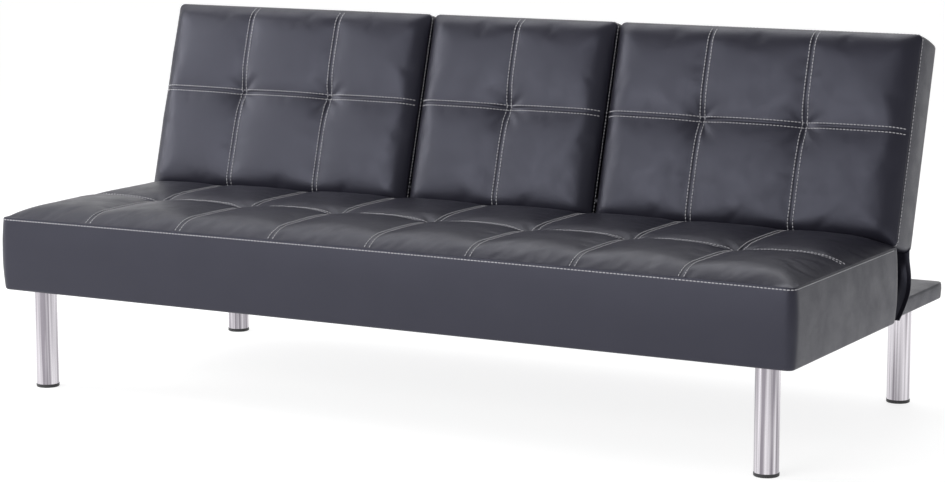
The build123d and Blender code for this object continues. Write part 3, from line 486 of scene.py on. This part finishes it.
# ------------------------------------------------------------------ cushions
BAND_DEPTHS = (0.7, 1.8, 3.4, 5.5, 8.5, 13.0)  # mm under the edge seam: loops of the boxing band
BAND_STEP = 11.0 * MM  # between its further loops
STITCH_LOOP = 2  # the loop that carries the edge stitching
TUCK_DEEP = 1.1 * MM  # the band is drawn in under the edge seam
TUCK_AT = 0.7 * MM
TUCK_WIDE = 1.3 * MM
BAND_UNEVEN = 0.9 * MM
FACE_UNEVEN = 1.2 * MM
FOOT_TURNS = (22.5, 45.0, 67.5, 90.0)  # degrees round the foot's rounded edge
BOX_LID = 0.6 * MM  # depth of the sheet that closes a box without its face
FACE_BASE = 0.2 * MM  # and of the sheet that closes the face


class Cushion:
    """A sewn leather cushion in a local frame: a along the sofa, b across its face, c out of it."""

    def __init__(self, name, low, high, origin, axes, thick, corner, seams_a=(), seams_b=(),
                 rise=0.0, puff=0.0, valley=0.0, tuft=0.0, step=7.0 * MM, pressure=0.0, slack=0.0,
                 cap=0.0, bow=0.0, foot=6.5 * MM, bulge=2.5 * MM, belly=0.0, rolls=ROLLS,
                 notches=(), square_front=False, seed=1):
        self.name, self.thick, self.corner, self.bow, self.belly = name, thick, corner, bow, belly
        self.foot, self.bulge, self.rolls, self.seed = foot, bulge, rolls, seed
        self.half_a, self.half_b = (high[0] - low[0]) / 2, (high[1] - low[1]) / 2
        self.mid_a, self.mid_b = (high[0] + low[0]) / 2, (high[1] + low[1]) / 2
        self.origin = np.array(origin, float)
        self.axes = axes
        self.seams_a = [s - self.mid_a for s in seams_a]
        self.seams_b = [s - self.mid_b for s in seams_b]
        self.rise, self.puff, self.valley, self.tuft = rise, puff, valley, tuft
        self.notches = [n - self.mid_a for n in notches]
        self.lines_a = grid_lines(-self.half_a, self.half_a, self.seams_a, step, self.notches)
        self.lines_b = grid_lines(-self.half_b, self.half_b, self.seams_b, step)
        a, b = np.meshgrid(self.lines_a, self.lines_b, indexing="ij")
        face = np.stack([a, b, self.height(a, b)], -1)
        if pressure:
            moved = relaxed(self.height, self.half_a, self.half_b, self.seams_a, self.seams_b,
                            pressure, slack, cap)
            rows = (self.lines_a + self.half_a) / (2 * self.half_a) * (moved.shape[0] - 1)
            columns = (self.lines_b + self.half_b) / (2 * self.half_b) * (moved.shape[1] - 1)
            fine = catmull(moved, rows)
            fine = catmull(fine.transpose(1, 0, 2), columns).transpose(1, 0, 2)
            face = face + fine
        new_a, new_b = rounded_plan(a, b, self.half_a, self.half_b, corner)
        if square_front:
            new_a, new_b = np.where(b < 0, a, new_a), np.where(b < 0, b, new_b)
        self.full_plan = np.stack([new_a, new_b], -1)
        for notch in self.notches:
            inside = np.clip((NOTCH_HALF + 1 * MM - np.abs(a - notch)) / MM, 0, 1)
            near = np.clip((b - self.half_b + NOTCH_BLEND) / NOTCH_BLEND, 0, 1)
            new_b = new_b - NOTCH_DEEP * inside * near
        face[..., 0] += new_a - a
        face[..., 1] += new_b - b
        self.plan = np.stack([new_a, new_b], -1)
        self.face = face

    def height(self, a, b):
        """Height of the sewn face over its edge plane."""
        base = crown(a, b, self.half_a, self.half_b, self.rise, self.rolls)
        level = np.clip(base / max(self.rise, LEAST), 0, 1)
        relief = quilt(a, b, self.seams_a, self.seams_b, self.puff, self.valley, self.tuft)
        uneven = FACE_UNEVEN * wander(self.seed, a * 1.3, b * 1.3)
        return base + level * (relief + uneven) + self.arch(a)

    def arch(self, a):
        """Height of the edge plane, a little higher in the middle of a long cushion."""
        return self.bow * (1 - (a / self.half_a) ** 2)

    def world(self, points):
        """Local points, as (..., 3), in the scene's frame."""
        points = np.asarray(points, float)
        shifted = points + np.array([self.mid_a, self.mid_b, 0.0])
        return self.origin + shifted @ np.stack(self.axes)

    def rim(self):
        """Grid indices round the face's edge, anticlockwise."""
        count_a, count_b = self.face.shape[:2]
        low = [(i, 0) for i in range(count_a - 1)]
        right = [(count_a - 1, j) for j in range(count_b - 1)]
        high = [(i, count_b - 1) for i in range(count_a - 1, 0, -1)]
        left = [(0, j) for j in range(count_b - 1, 0, -1)]
        return low + right + high + left

    def outward(self, loop):
        """Unit plan directions out of a closed loop of plan points."""
        along = np.roll(loop, -1, 0) - np.roll(loop, 1, 0)
        along /= np.linalg.norm(along, axis=1, keepdims=True)
        return np.stack([along[:, 1], -along[:, 0]], 1)

    def walls(self):
        """Loops of the boxing band as local points, from under the face's edge round the foot's
        edge. A notch reaches down to the last loop above NOTCH_HIGH."""
        rim = self.rim()
        edge = np.array([self.face[i, j] for i, j in rim])
        notched = np.array([self.plan[i, j] for i, j in rim])
        full = np.array([self.full_plan[i, j] for i, j in rim])
        out = self.outward(full)
        deep = self.thick - self.foot
        depths = [d * MM for d in BAND_DEPTHS if d * MM < deep]
        more = max(1, round((deep - depths[-1]) / BAND_STEP))
        depths += list(np.linspace(depths[-1], deep, more + 1)[1:])
        along = np.cumsum(np.r_[0, np.linalg.norm(np.diff(full, axis=0), axis=1)])
        loops = []
        for depth in depths:
            share = depth / deep
            swell = self.bulge * math.sin(math.pi * min(1.0, share * 1.02)) ** 0.7
            tuck = TUCK_DEEP * math.exp(-((depth - TUCK_AT) / TUCK_WIDE) ** 2)
            plan = notched if depth < NOTCH_HIGH else full
            uneven = BAND_UNEVEN * wander(self.seed + 5, along * 0.9, np.full_like(along, depth * 3))
            reach = swell - tuck + uneven * math.sin(math.pi * share)
            flat = plan + out * reach[:, None]
            level = edge[:, 2] * (1 - share) - depth
            loops.append(np.column_stack([flat, level]))
        for turn in np.radians(FOOT_TURNS):
            inward = self.foot * (1 - math.cos(turn))
            drop = deep + self.foot * math.sin(turn)
            loops.append(np.column_stack([full - out * inward, np.full(len(full), -drop)]))
        return loops

    def level(self, depth):
        """The plan's grid as a flat sheet under the edge plane, with the face's own edge."""
        sheet = np.concatenate([self.plan, (self.arch(self.plan[..., 0]) - depth)[..., None]], -1)
        for i, j in self.rim():
            sheet[i, j] = self.face[i, j]
        return sheet

    def under(self, edge):
        """The far side: a plain sheet, set in at the foot, that ends in a loop of edge points."""
        half = np.array([self.half_a, self.half_b])
        plan = self.full_plan
        bare = crown(plan[..., 0], plan[..., 1], self.half_a, self.half_b, self.belly)
        sheet = np.concatenate([plan * ((half - self.foot) / half), -self.thick - bare[..., None]], -1)
        for (i, j), point in zip(self.rim(), edge):
            sheet[i, j] = point
        return sheet

    def build(self, hole=None, split=False):
        """The closed mesh. hole, as ((low a, low b), (high a, high b)), leaves an opening in the
        far side. split leaves the stuffed face off and closes the box with a flat sheet."""
        rim = self.rim()
        loops = self.walls()
        over = self.level(BOX_LID) if split else self.face
        points = [over.reshape(-1, 3)] + loops[:-1] + [self.under(loops[-1]).reshape(-1, 3)]
        starts = np.cumsum([0] + [len(p) for p in points])
        index, quads = grid_quads(*self.face.shape[:2])
        faces = quads.reshape(-1, 4).tolist()
        rings = [[int(index[i, j]) for i, j in rim]]
        rings += [list(range(int(starts[k]), int(starts[k + 1]))) for k in range(1, len(loops))]
        last = int(starts[len(loops)])
        rings.append([last + int(index[i, j]) for i, j in rim])
        for upper, lower in zip(rings[:-1], rings[1:]):
            count = len(upper)
            for k in range(count):
                n = (k + 1) % count
                faces.append([upper[k], lower[k], lower[n], upper[n]])
        back = quads[..., ::-1]
        if hole:
            a_mid = (self.lines_a[1:] + self.lines_a[:-1]) / 2 + self.mid_a
            b_mid = (self.lines_b[1:] + self.lines_b[:-1]) / 2 + self.mid_b
            in_a = (a_mid > hole[0][0]) & (a_mid < hole[1][0])
            in_b = (b_mid > hole[0][1]) & (b_mid < hole[1][1])
            back = back[~(in_a[:, None] & in_b[None, :])]
        faces += (back.reshape(-1, 4) + last).tolist()
        return solid(f"{self.name}_cushion", self.world(np.concatenate(points)), faces, LEATHER)

    def build_face(self):
        """The stuffed face alone, closed by a flat sheet at the edge plane."""
        index, quads = grid_quads(*self.face.shape[:2])
        rim = {int(index[i, j]) for i, j in self.rim()}
        below = self.level(FACE_BASE).reshape(-1, 3)
        number = {}
        kept = []
        for k in range(len(below)):
            if k in rim:
                number[k] = k
            else:
                number[k] = len(below) + len(kept)
                kept.append(below[k])
        faces = quads.reshape(-1, 4).tolist()
        faces += [[number[k] for k in quad] for quad in quads[..., ::-1].reshape(-1, 4).tolist()]
        points = np.concatenate([self.face.reshape(-1, 3), np.array(kept)])
        return solid(f"{self.name}_face", self.world(points), faces, LEATHER)

    def at(self, a, b):
        """Local point of the face and its outward normal at plan positions a, b (arrays)."""
        def sample(x, y):
            i = np.clip(np.searchsorted(self.lines_a, x) - 1, 0, len(self.lines_a) - 2)
            j = np.clip(np.searchsorted(self.lines_b, y) - 1, 0, len(self.lines_b) - 2)
            u = ((x - self.lines_a[i]) / (self.lines_a[i + 1] - self.lines_a[i]))[:, None]
            v = ((y - self.lines_b[j]) / (self.lines_b[j + 1] - self.lines_b[j]))[:, None]
            return (self.face[i, j] * (1 - u) * (1 - v) + self.face[i + 1, j] * u * (1 - v)
                    + self.face[i, j + 1] * (1 - u) * v + self.face[i + 1, j + 1] * u * v)

        step = 1.5 * MM
        along_a = sample(a + step, b) - sample(a - step, b)
        along_b = sample(a, b + step) - sample(a, b - step)
        normal = np.cross(along_a, along_b)
        return sample(a, b), normal / np.linalg.norm(normal, axis=1, keepdims=True)


def solid(name, points, faces, material):
    """A smooth shaded mesh object with one material."""
    mesh = bpy.data.meshes.new(name)
    mesh.from_pydata(np.asarray(points).tolist(), [], faces)
    mesh.polygons.foreach_set("use_smooth", [True] * len(mesh.polygons))
    mesh.materials.append(material)
    mesh.update()
    made = bpy.data.objects.new(name, mesh)
    bpy.context.scene.collection.objects.link(made)
    return made


# ------------------------------------------------------------------ stitching
STITCH = 6.4 * MM
STITCH_PITCH = 7.4 * MM
THREAD_R = 1.05 * MM
THREAD_SIDES = 6
# Sections of a stitch, as (share of its length from its middle, share of its radius)
THREAD_PROFILE = ((-0.5, 0.25), (-0.36, 0.85), (0.0, 1.0), (0.36, 0.85), (0.5, 0.25))
THREAD_LIFT = 0.55  # a stitch's middle stands this share of its radius over the leather
THREAD_SINK = 1.6  # and its ends dip this much below that
THREAD_FLAT = 0.8  # its height over its width
PATH_STEP = 2.5 * MM
PATH_INSET = 3.0 * MM  # a row ends this far from the cushion's edge


def stitches(paths):
    """Points and faces of short sunk threads along paths. Each path is (points, normals)."""
    points, faces = [], []
    ring = np.linspace(0, 2 * math.pi, THREAD_SIDES, endpoint=False)
    for path, normals in paths:
        lengths = np.r_[0, np.cumsum(np.linalg.norm(np.diff(path, axis=0), axis=1))]
        for start in np.arange(STITCH_PITCH / 2, lengths[-1] - STITCH_PITCH / 2, STITCH_PITCH):
            middle = np.array([np.interp(start, lengths, path[:, k]) for k in range(3)])
            ahead = np.array([np.interp(start + 2 * MM, lengths, path[:, k]) for k in range(3)])
            along = (ahead - middle) / max(np.linalg.norm(ahead - middle), LEAST)
            normal = np.array([np.interp(start, lengths, normals[:, k]) for k in range(3)])
            normal -= along * (normal @ along)
            normal /= max(np.linalg.norm(normal), LEAST)
            side = np.cross(along, normal)
            first = len(points)
            for place, width in THREAD_PROFILE:
                lift = THREAD_R * (THREAD_LIFT - THREAD_SINK * (abs(place) / 0.5) ** 3)
                centre = middle + along * place * STITCH + normal * lift
                for turn in ring:
                    offset = side * math.cos(turn) + normal * math.sin(turn) * THREAD_FLAT
                    points.append(centre + offset * THREAD_R * width)
            for row in range(len(THREAD_PROFILE) - 1):
                for k in range(THREAD_SIDES):
                    n = (k + 1) % THREAD_SIDES
                    low, high = first + row * THREAD_SIDES, first + (row + 1) * THREAD_SIDES
                    faces.append([low + k, low + n, high + n, high + k])
            faces.append([first + k for k in range(THREAD_SIDES)][::-1])
            end = first + (len(THREAD_PROFILE) - 1) * THREAD_SIDES
            faces.append([end + k for k in range(THREAD_SIDES)])
    return points, faces


def to_world(cushion, local, normal):
    """Path points and normals of a cushion in the scene's frame."""
    return cushion.world(local), normal @ np.stack(cushion.axes)


def twin_rows(cushion):
    """Paths of the twin rows on both sides of every seam of a cushion."""
    a = np.arange(PATH_INSET - cushion.half_a, cushion.half_a - PATH_INSET, PATH_STEP)
    b = np.arange(PATH_INSET - cushion.half_b, cushion.half_b - PATH_INSET, PATH_STEP)
    paths = []
    for seam in cushion.seams_a:
        for gap in (-ROW_GAP, ROW_GAP):
            paths.append(to_world(cushion, *cushion.at(np.full_like(b, seam + gap), b)))
    for seam in cushion.seams_b:
        for gap in (-ROW_GAP, ROW_GAP):
            paths.append(to_world(cushion, *cushion.at(a, np.full_like(a, seam + gap))))
    return paths


def edge_row(cushion, open_rear=False):
    """Path of the single row that closes the boxing band, just under the face's edge. open_rear
    leaves it off the rear side."""
    loop = cushion.walls()[STITCH_LOOP]
    out = np.column_stack([cushion.outward(loop[:, :2]), np.full(len(loop), 0.25)])
    path, normal = to_world(cushion, loop, out)
    order = np.arange(len(loop) + 1) % len(loop)
    if open_rear:
        keep = loop[:, 1] < cushion.half_b - cushion.corner
        order = (order + int(np.argmin(keep))) % len(loop)
        order = order[keep[order]]
    return [(path[order], normal[order])]


def sew(name, paths, body):
    """One object of stitches that rides on a body."""
    made = solid(name, *stitches(paths), THREAD)
    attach(made, body)
    return made


# ------------------------------------------------------------------ the sofa's soft pieces
def soft_piece(made, body, *nodes, fill=0.7):
    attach(made, body)
    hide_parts(*nodes)
    return made


def pressed(cushion, body, node, fill=0.7, hole=None, open_rear=False):
    """A cushion as a box and a stuffed face, with its stitching, riding on a body."""
    soft_piece(cushion.build(hole, split=True), body, node, fill=fill)
    face = soft_piece(cushion.build_face(), body, node, fill=fill)
    rows = sew(f"{cushion.name}_stitching", twin_rows(cushion), body)
    sew(f"{cushion.name}_edge_stitching", edge_row(cushion, open_rear), body)
    for piece in (face, rows):
        tuple(cushion.axes[2])
        tuple(cushion.origin)
        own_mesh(piece)


COLUMN = 0.225  # width of one sewn square along the sofa
BACK_AXES = (ALONG, UP_SLOPE, AHEAD)
SEAT_AXES = (ALONG, REARWARD, RISE)
BACK_CORNER = 12.0 * MM  # radius of a back section's corners, seen from the front
ARM_HALF = 5.0 * MM  # half the thickness of a hinge arm
SEAM_AHEAD = 6.0 * MM  # the seat's long seam lies this far before its middle
SEAM_HIGH = 0.535  # share of a back section's height at its cross seam
TRAY_RIM = 8.0 * MM  # leather over the cup tray's edge


def slope(node):
    """Lowest and highest place of a back node up the slope, and then ahead, from the pivot."""
    points = np.array([v.co for v in frame["nodes"][node].data.vertices]) - PIVOT
    up, ahead = points @ UP_SLOPE, points @ AHEAD
    return up.min(), up.max(), ahead.min(), ahead.max()


def seat():
    """The long seat cushion, eight squares by two."""
    low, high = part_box("seat_cover")
    arms_low, arms_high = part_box("hinge_back_arms")
    arm = (arms_high.x - arms_low.x) / 2 - ARM_HALF
    seams = [COLUMN * k for k in range(-3, 4)]
    cushion = Cushion(
        "seat", (low.x, low.y), (high.x, high.y), (0.0, 0.0, high.z), SEAT_AXES,
        thick=high.z - low.z, corner=0.016, seams_a=seams,
        seams_b=[(low.y + high.y) / 2 - SEAM_AHEAD], rise=0.025, puff=0.004, valley=0.0045,
        tuft=0.013, pressure=1.3, slack=0.004, cap=0.006, bow=0.003, bulge=4.0 * MM,
        rolls=(0.115, 0.08), notches=(-arm, arm), seed=3,
    )
    pressed(cushion, "base", "seat_cover", fill=0.75, open_rear=True)


def back_section(name, node, seams, belly=0.0):
    """One padded section of the back, two squares high."""
    low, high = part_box(node)
    foot, head, rear, front = slope(node)
    return Cushion(
        name, (low.x, foot), (high.x, head), PIVOT + AHEAD * front, BACK_AXES,
        thick=front - rear, corner=BACK_CORNER, seams_a=seams,
        seams_b=[foot + (head - foot) * SEAM_HIGH], rise=0.031, puff=0.003, valley=0.0032,
        tuft=0.014, pressure=1.0, slack=0.0015, cap=0.006, foot=3.5 * MM, bulge=1.8 * MM,
        belly=belly, rolls=(0.052, 0.046), seed=len(name),
    )


def backs():
    """The two side sections and the console between them."""
    for name, side in (("back_left", -1), ("back_right", 1)):
        node = name.replace("back", "back_cover")
        seams = sorted([side * 3 * COLUMN, side * 2 * COLUMN])
        cushion = back_section(name, node, seams, belly=0.008)
        soft_piece(cushion.build(), "back", node)
        sew(f"{name}_stitching", twin_rows(cushion) + edge_row(cushion), "back")
    tray = slope("console_cup_tray")
    low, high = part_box("console_cup_tray")
    hole = ((low.x + TRAY_RIM, tray[0] + TRAY_RIM), (high.x - TRAY_RIM, tray[1] - TRAY_RIM))
    console = back_section("console", "console_cover", [0.0])
    pressed(console, "console", "console_cover", hole=hole)


def shelf():
    """The padded shelf behind the seat."""
    low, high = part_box("shelf_cover")
    cushion = Cushion(
        "shelf", (low.x, low.y), (high.x, high.y), (0.0, 0.0, high.z), SEAT_AXES,
        thick=high.z - low.z, corner=0.018, rise=0.0035, step=14.0 * MM, foot=5.0 * MM,
        bulge=1.0 * MM, square_front=True, seed=11,
    )
    soft_piece(cushion.build(), "base", "shelf_cover", fill=0.5)


# Sections of the curtain from its foot to its head, as (y, z) in mm
CURTAIN_MIDDLE = (
    (141, 250), (149, 253), (166, 261), (184, 277), (191, 299), (189, 323), (186, 342.4),
)
CURTAIN_END = (
    (139, 213), (152, 221), (176, 238), (198, 262), (201, 293), (189, 325), (186, 342.4),
)
CURTAIN_ROWS = 26
CURTAIN_COLUMNS = 200
END_COLUMNS = 9
CURTAIN_THICK = 1.6 * MM
FOLD_DEEP = 3.5 * MM
RIPPLE_DEEP = 2.0 * MM


def curtain():
    """Loose leather from the back's foot to the shelf. Its ends hang on outside the shelf, down to
    the seat's foot."""
    low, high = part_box("rear_curtain")
    shelf_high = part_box("shelf_cover")[1]
    inner = np.linspace(-shelf_high.x + 1 * MM, shelf_high.x - 1 * MM, CURTAIN_COLUMNS)
    right = np.linspace(shelf_high.x + 2 * MM, high.x, END_COLUMNS)
    across = np.concatenate([-right[::-1], inner, right])
    rows = np.linspace(0, len(CURTAIN_MIDDLE) - 1, CURTAIN_ROWS)
    middle = catmull(np.array(CURTAIN_MIDDLE)[:, None, :] * MM, rows)[:, 0]
    end = catmull(np.array(CURTAIN_END)[:, None, :] * MM, rows)[:, 0]
    x, t = np.meshgrid(across, rows / rows[-1], indexing="ij")
    outside = (np.abs(x) > shelf_high.x)[..., None]
    line = np.where(outside, end[None], middle[None])
    fold = FOLD_DEEP * np.sin(x * 19 + 1.3 * np.sin(x * 5))
    fold += RIPPLE_DEEP * np.sin(x * 43 + 2 * t)
    y = line[..., 0] + np.sin(np.pi * t) * np.where(outside[..., 0], 0.0, fold)
    past = np.clip(np.abs(x) - (high.x - 1 * MM - BACK_CORNER), 0, BACK_CORNER)
    lift = (BACK_CORNER - np.sqrt(BACK_CORNER**2 - past**2)) * t**6
    points = np.stack([x, y + lift * UP_SLOPE[1], line[..., 1] + lift * UP_SLOPE[2]], -1)
    faces = grid_quads(*x.shape)[1].reshape(-1, 4).tolist()
    made = solid("rear_curtain_cloth", points.reshape(-1, 3), faces, LEATHER)
    thick = made.modifiers.new("thickness", "SOLIDIFY")
    thick.thickness = CURTAIN_THICK
    thick.offset = 0.0
    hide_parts("rear_curtain")
    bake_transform(made)


# ------------------------------------------------------------------ stage, light and camera
ROOM = 0.34  # brightness of the room round the sofa
BACKDROP = 1.0  # and of the backdrop behind its left end
BACKDROP_SIDE = (-0.477, 0.879, 0.0)  # direction of the backdrop
BACKDROP_SPREAD = (0.55, 0.95)  # cosines of the angles from there at which it begins and is full
FLOOR_SIZE = 40.0
FLOOR_GLOW = 0.8


def floor_and_world():
    """A pale glowing floor in a dim room with a bright backdrop."""
    bpy.ops.mesh.primitive_plane_add(size=FLOOR_SIZE, location=(0, 0, 0))
    floor = bpy.context.object
    floor.name = "floor"
    material, bsdf, place = shader("floor_pale", (0.4, 0.4, 0.4), 0.8)
    bsdf.inputs["Emission Color"].default_value = (1.0, 1.0, 1.0, 1.0)
    bsdf.inputs["Emission Strength"].default_value = FLOOR_GLOW
    bump(material, bsdf, [(noise(material, place, 3.0), 0.02, 0.001)])
    floor.data.materials.append(material)
    world = bpy.data.worlds.new("studio")
    bpy.context.scene.world = world
    world.use_nodes = True
    nodes, links = world.node_tree.nodes, world.node_tree.links
    direction = nodes.new("ShaderNodeTexCoord")
    toward = nodes.new("ShaderNodeVectorMath")
    toward.operation = "DOT_PRODUCT"
    toward.inputs[1].default_value = BACKDROP_SIDE
    fade = nodes.new("ShaderNodeMapRange")
    fade.inputs["From Min"].default_value = BACKDROP_SPREAD[0]
    fade.inputs["From Max"].default_value = BACKDROP_SPREAD[1]
    fade.inputs["To Min"].default_value = ROOM
    fade.inputs["To Max"].default_value = BACKDROP
    nodes["Background"].inputs["Color"].default_value = (1.0, 1.0, 1.0, 1.0)
    links.new(direction.outputs["Generated"], toward.inputs[0])
    links.new(toward.outputs["Value"], fade.inputs["Value"])
    links.new(fade.outputs["Result"], nodes["Background"].inputs["Strength"])


def softbox(name, place, target, size, power):
    """A rectangular area light aimed at a point."""
    data = bpy.data.lights.new(name, "AREA")
    data.shape = "RECTANGLE"
    data.size, data.size_y = size
    data.energy = power
    lamp = bpy.data.objects.new(name, data)
    lamp.location = place
    lamp.rotation_euler = (Vector(target) - Vector(place)).to_track_quat("-Z", "Y").to_euler()
    bpy.context.scene.collection.objects.link(lamp)


def lights():
    """A long light above the rear, a large key in front and a tall box at the left end."""
    softbox("top", (-1.1, 1.3, 3.1), (-0.1, 0, 0.4), (4.6, 1.6), 46)
    softbox("key", (-1.6, -4.9, 2.1), (0.1, 0, 0.5), (4.2, 2.0), 148)
    softbox("left", (-3.5, -1.1, 1.7), (-0.4, 0, 0.5), (1.2, 2.6), 64)


CAMERA_AZIMUTH = 28.75
CAMERA_RISE = 9.02
CAMERA_PLACE = (2.7396, -4.9923, 1.2284)
CAMERA_LENS = 104.7
CAMERA_SENSOR = 36.0


def camera():
    """The camera, at the height and side from which the sofa is seen."""
    data = bpy.data.cameras.new("camera")
    data.lens = CAMERA_LENS
    data.sensor_width = CAMERA_SENSOR
    made = bpy.data.objects.new("camera", data)
    turn, lift = math.radians(CAMERA_AZIMUTH), math.radians(CAMERA_RISE)
    level = math.cos(lift)
    back = Vector((math.sin(turn) * level, -math.cos(turn) * level, math.sin(lift)))
    made.location = CAMERA_PLACE
    made.rotation_euler = (-back).to_track_quat("-Z", "Y").to_euler()
    bpy.context.scene.collection.objects.link(made)
    bpy.context.scene.camera = made


paint_cad()
camera()
seat()
backs()
shelf()
curtain()
floor_and_world()
lights()
bpy.context.scene.view_settings.view_transform = "Standard"
